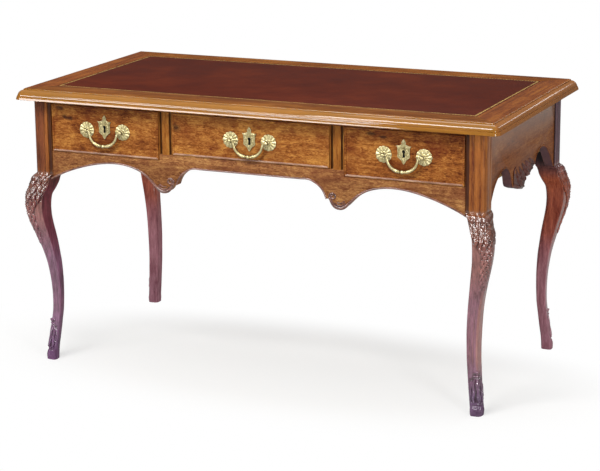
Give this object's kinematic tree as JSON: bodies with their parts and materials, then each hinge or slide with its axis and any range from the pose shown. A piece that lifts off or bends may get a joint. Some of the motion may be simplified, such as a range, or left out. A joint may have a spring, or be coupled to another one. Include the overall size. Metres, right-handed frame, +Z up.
{
  "type": "writing desk",
  "caption": "Long walnut writing desk on carved cabriole legs, with shaped aprons, a moulded top inset with leather, and frieze drawers with locks and drop handles.",
  "frame": {"origin": "on the floor, under the middle of the top", "axes": "+X along the desk to the user's right, -Y towards the drawers and the user, +Z up"},
  "size_m": [1.396, 0.722, 0.78],
  "materials": {
    "walnut": "wax-polished figured walnut",
    "leg_walnut": "darker polished walnut, carved",
    "leather": "worn tooled hide with a gilt line",
    "gilt_brass": "cast, chased and gilt",
    "oak": "planed, unpolished",
    "pine": "sawn, unpolished",
    "iron": "filed, dark oxide"
  },
  "bodies": {
    "carcass": {"top_panel": "oak", "writing_leather": "leather", "top_border_front": "walnut", "top_border_back": "walnut", "top_border_left": "walnut", "top_border_right": "walnut", "leg_front_left": "leg_walnut", "leg_front_right": "leg_walnut", "leg_back_left": "leg_walnut", "leg_back_right": "leg_walnut", "front_apron": "walnut", "back_apron": "walnut", "side_apron_left": "walnut", "side_apron_right": "walnut", "front_top_rail": "walnut", "stile_left": "walnut", "stile_right": "walnut", "partition_left": "oak", "partition_right": "oak", "drawer_runners": "oak", "drawer_guides": "oak", "drawer_kickers": "oak", "drawer_stops": "oak", "top_glue_blocks": "pine", "top_screws": "iron", "tenon_pegs": "oak"},
    "drawer_left": {"drawer_left_front": "walnut", "drawer_left_sides": "oak", "drawer_left_back": "oak", "drawer_left_bottom": "oak", "drawer_left_escutcheon": "gilt_brass", "drawer_left_lock_case": "iron", "drawer_left_handle_rosettes": "gilt_brass", "drawer_left_handle_posts": "gilt_brass", "drawer_left_handle_nuts": "iron"},
    "lock_bolt_left": {"drawer_left_lock_bolt": "iron"},
    "bail_left": {"drawer_left_bail": "gilt_brass"},
    "drawer_centre": {"drawer_centre_front": "walnut", "drawer_centre_sides": "oak", "drawer_centre_back": "oak", "drawer_centre_bottom": "oak", "drawer_centre_escutcheon": "gilt_brass", "drawer_centre_lock_case": "iron", "drawer_centre_handle_rosettes": "gilt_brass", "drawer_centre_handle_posts": "gilt_brass", "drawer_centre_handle_nuts": "iron"},
    "lock_bolt_centre": {"drawer_centre_lock_bolt": "iron"},
    "bail_centre": {"drawer_centre_bail": "gilt_brass"},
    "drawer_right": {"drawer_right_front": "walnut", "drawer_right_sides": "oak", "drawer_right_back": "oak", "drawer_right_bottom": "oak", "drawer_right_escutcheon": "gilt_brass", "drawer_right_lock_case": "iron", "drawer_right_handle_rosettes": "gilt_brass", "drawer_right_handle_posts": "gilt_brass", "drawer_right_handle_nuts": "iron"},
    "lock_bolt_right": {"drawer_right_lock_bolt": "iron"},
    "bail_right": {"drawer_right_bail": "gilt_brass"}
  },
  "joints": [
    {"name": "drawer_left_slide", "type": "slide", "parent": "carcass", "child": "drawer_left", "axis": [0, -1, 0], "range_m": [0, 0.4]},
    {"name": "bail_left_swing", "type": "hinge", "parent": "drawer_left", "child": "bail_left", "pos_m": [-0.434, -0.338, 0.675], "axis": [-1, 0, 0], "range_deg": [0, 100]},
    {"name": "lock_bolt_left_throw", "type": "slide", "parent": "drawer_left", "child": "lock_bolt_left", "axis": [0, 0, 1], "range_m": [0, 0.008]},
    {"name": "drawer_centre_slide", "type": "slide", "parent": "carcass", "child": "drawer_centre", "axis": [0, -1, 0], "range_m": [0, 0.4]},
    {"name": "bail_centre_swing", "type": "hinge", "parent": "drawer_centre", "child": "bail_centre", "pos_m": [0, -0.338, 0.68], "axis": [-1, 0, 0], "range_deg": [0, 100]},
    {"name": "lock_bolt_centre_throw", "type": "slide", "parent": "drawer_centre", "child": "lock_bolt_centre", "axis": [0, 0, 1], "range_m": [0, 0.008]},
    {"name": "drawer_right_slide", "type": "slide", "parent": "carcass", "child": "drawer_right", "axis": [0, -1, 0], "range_m": [0, 0.4]},
    {"name": "bail_right_swing", "type": "hinge", "parent": "drawer_right", "child": "bail_right", "pos_m": [0.434, -0.338, 0.675], "axis": [-1, 0, 0], "range_deg": [0, 100]},
    {"name": "lock_bolt_right_throw", "type": "slide", "parent": "drawer_right", "child": "lock_bolt_right", "axis": [0, 0, 1], "range_m": [0, 0.008]}
  ]
}
